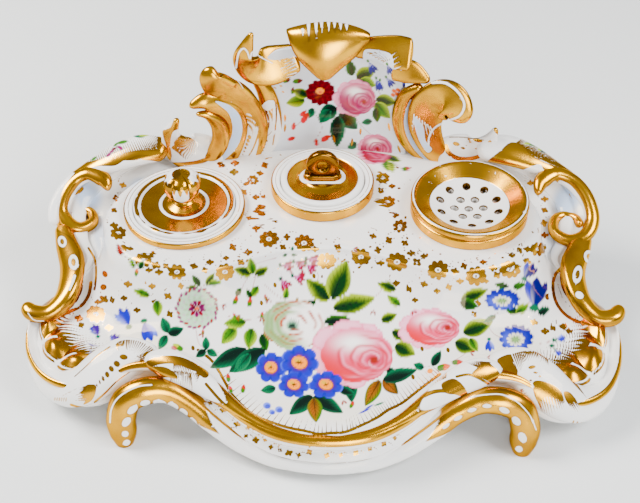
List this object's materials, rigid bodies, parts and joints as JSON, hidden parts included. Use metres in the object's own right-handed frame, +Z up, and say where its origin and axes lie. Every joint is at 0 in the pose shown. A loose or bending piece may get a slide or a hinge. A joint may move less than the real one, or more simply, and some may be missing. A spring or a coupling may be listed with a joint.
{
  "type": "desk inkstand",
  "caption": "Scrolled porcelain desk stand on four feet with a leafy crest, two covered ink pots that lift out and a pounce pot with a pierced dish.",
  "frame": {"origin": "centre of the stand's plan, on the table that its feet rest on", "axes": "+X to the right of someone writing at it, +Y to the back, +Z up"},
  "size_m": [0.288, 0.1781, 0.1312],
  "materials": {
    "white_glaze": "white hard-paste porcelain under a clear glaze, with enamel flowers and gilding",
    "painted_glaze": "white glaze with an enamelled bouquet",
    "gilt": "burnished gold over the glaze, worn on the edges"
  },
  "bodies": {
    "stand": {"stand_shell": "white_glaze", "crest_plate": "painted_glaze", "crest_shell": "gilt", "crest_leaf_left": "gilt", "crest_leaf_right": "gilt", "crest_tip_right": "gilt", "crest_border_left": "gilt", "crest_border_right": "gilt", "acanthus_outer_left": "gilt", "acanthus_crescent_left": "gilt", "acanthus_curl_left": "gilt", "crest_scroll_right": "gilt", "boat_leaf_left": "white_glaze", "boat_leaf_right": "white_glaze", "shoulder_leaf_left": "white_glaze", "shoulder_leaf_right": "white_glaze", "side_scroll_left": "gilt", "side_scroll_right": "gilt", "volute_left": "gilt", "volute_right": "gilt", "corner_scroll_left": "white_glaze", "corner_scroll_right": "white_glaze", "rim_leaf_left": "white_glaze", "rim_leaf_right": "white_glaze", "front_scroll_leg_left": "gilt", "front_scroll_leg_right": "gilt", "rear_foot_left": "white_glaze", "rear_foot_right": "white_glaze"},
    "left_pot": {"left_ink_pot": "white_glaze"},
    "left_lid": {"left_cover": "gilt"},
    "centre_pot": {"centre_ink_pot": "gilt"},
    "centre_lid": {"centre_cover": "gilt"},
    "pounce": {"pounce_pot": "gilt"}
  },
  "joints": [
    {"name": "left_pot_lift", "type": "slide", "parent": "stand", "child": "left_pot", "axis": [0, 0, 1], "range_m": [0, 0.045]},
    {"name": "left_lid_lift", "type": "slide", "parent": "left_pot", "child": "left_lid", "axis": [0, 0, 1], "range_m": [0, 0.03]},
    {"name": "centre_pot_lift", "type": "slide", "parent": "stand", "child": "centre_pot", "axis": [0, 0, 1], "range_m": [0, 0.038]},
    {"name": "centre_lid_lift", "type": "slide", "parent": "centre_pot", "child": "centre_lid", "axis": [0, 0, 1], "range_m": [0, 0.03]},
    {"name": "pounce_pot_lift", "type": "slide", "parent": "stand", "child": "pounce", "axis": [0, 0, 1], "range_m": [0, 0.045]}
  ]
}
